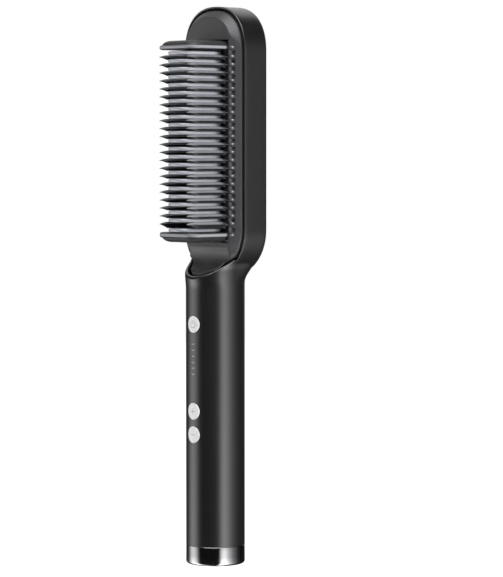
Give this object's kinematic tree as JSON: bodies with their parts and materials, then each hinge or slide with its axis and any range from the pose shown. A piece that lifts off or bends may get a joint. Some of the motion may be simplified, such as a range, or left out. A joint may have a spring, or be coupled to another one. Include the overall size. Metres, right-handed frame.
{
  "type": "hair straightening brush",
  "caption": "Hair straightening brush: round handle with push buttons and a cord swivel, long rounded head with a heated comb in front and a lit ring behind.",
  "frame": {"origin": "on the handle's axis, at the mouth of the cord bore, in the plane that the brush stands on", "axes": "+Z along the handle to the head, comb teeth towards -Y, lit back towards +Y, +X across"},
  "size_m": [0.0468, 0.0435, 0.285],
  "materials": {
    "shell_black": "satin black",
    "face_charcoal": "fine satin charcoal",
    "comb_black": "satin, heat resistant",
    "fin_metal": "coated grey",
    "light_guide": "clear guide, lit violet",
    "panel_gloss": "gloss black",
    "button_white": "pale, soft gloss",
    "window_grey": "smoked",
    "ring_chrome": "polished",
    "cap_black": "fine matt",
    "screw_steel": "zinc plated",
    "heater_ceramic": "unglazed",
    "mica_sheet": "pressed mica",
    "board_green": "lacquered board",
    "component_black": "moulded",
    "capacitor_yellow": "dipped",
    "fuse_glass": "clear tube",
    "cutout_tin": "tinned can",
    "led_white": "lens",
    "contact_brass": "drawn",
    "wire_sleeve": "silicone sleeve"
  },
  "bodies": {
    "brush": {"body_shell": "shell_black", "front_cover": "face_charcoal", "comb_frame": "comb_black", "heating_fins": "fin_metal", "heating_plate": "fin_metal", "light_ring": "light_guide", "back_panel": "panel_gloss", "indicator_window": "window_grey", "end_ring": "ring_chrome", "end_cap": "cap_black", "swivel_retainer": "cap_black", "chassis": "cap_black", "comb_screws": "screw_steel", "clamp_screws": "screw_steel", "cover_screws": "screw_steel", "chassis_screw": "screw_steel", "board_screws": "screw_steel", "cap_screws": "screw_steel", "heater_clamp": "screw_steel", "ptc_heaters": "heater_ceramic", "heater_insulator": "mica_sheet", "heat_shield": "mica_sheet", "control_board": "board_green", "light_board": "board_green", "tact_switches": "component_black", "microcontroller": "component_black", "triac": "component_black", "thermistor": "component_black", "film_capacitor": "capacitor_yellow", "fuse": "fuse_glass", "thermal_fuse": "cutout_tin", "ring_leds": "led_white", "indicator_leds": "led_white", "swivel_brushes": "contact_brass", "heater_leads": "wire_sleeve", "power_leads": "wire_sleeve"},
    "power_button": {"power_button": "button_white"},
    "plus_button": {"plus_button": "button_white"},
    "minus_button": {"minus_button": "button_white"},
    "swivel": {"swivel_gland": "cap_black", "swivel_contacts": "contact_brass"}
  },
  "joints": [
    {"name": "power_button_press", "type": "slide", "parent": "brush", "child": "power_button", "axis": [0, 1, 0], "range_m": [0, 0.0006], "stiffness_N_per_m": 2000},
    {"name": "plus_button_press", "type": "slide", "parent": "brush", "child": "plus_button", "axis": [0, 1, 0], "range_m": [0, 0.0006], "stiffness_N_per_m": 2000},
    {"name": "minus_button_press", "type": "slide", "parent": "brush", "child": "minus_button", "axis": [0, 1, 0], "range_m": [0, 0.0006], "stiffness_N_per_m": 2000},
    {"name": "cord_swivel", "type": "hinge", "parent": "brush", "child": "swivel", "pos_m": [0, 0, 0], "axis": [0, 0, 1], "continuous": true}
  ]
}
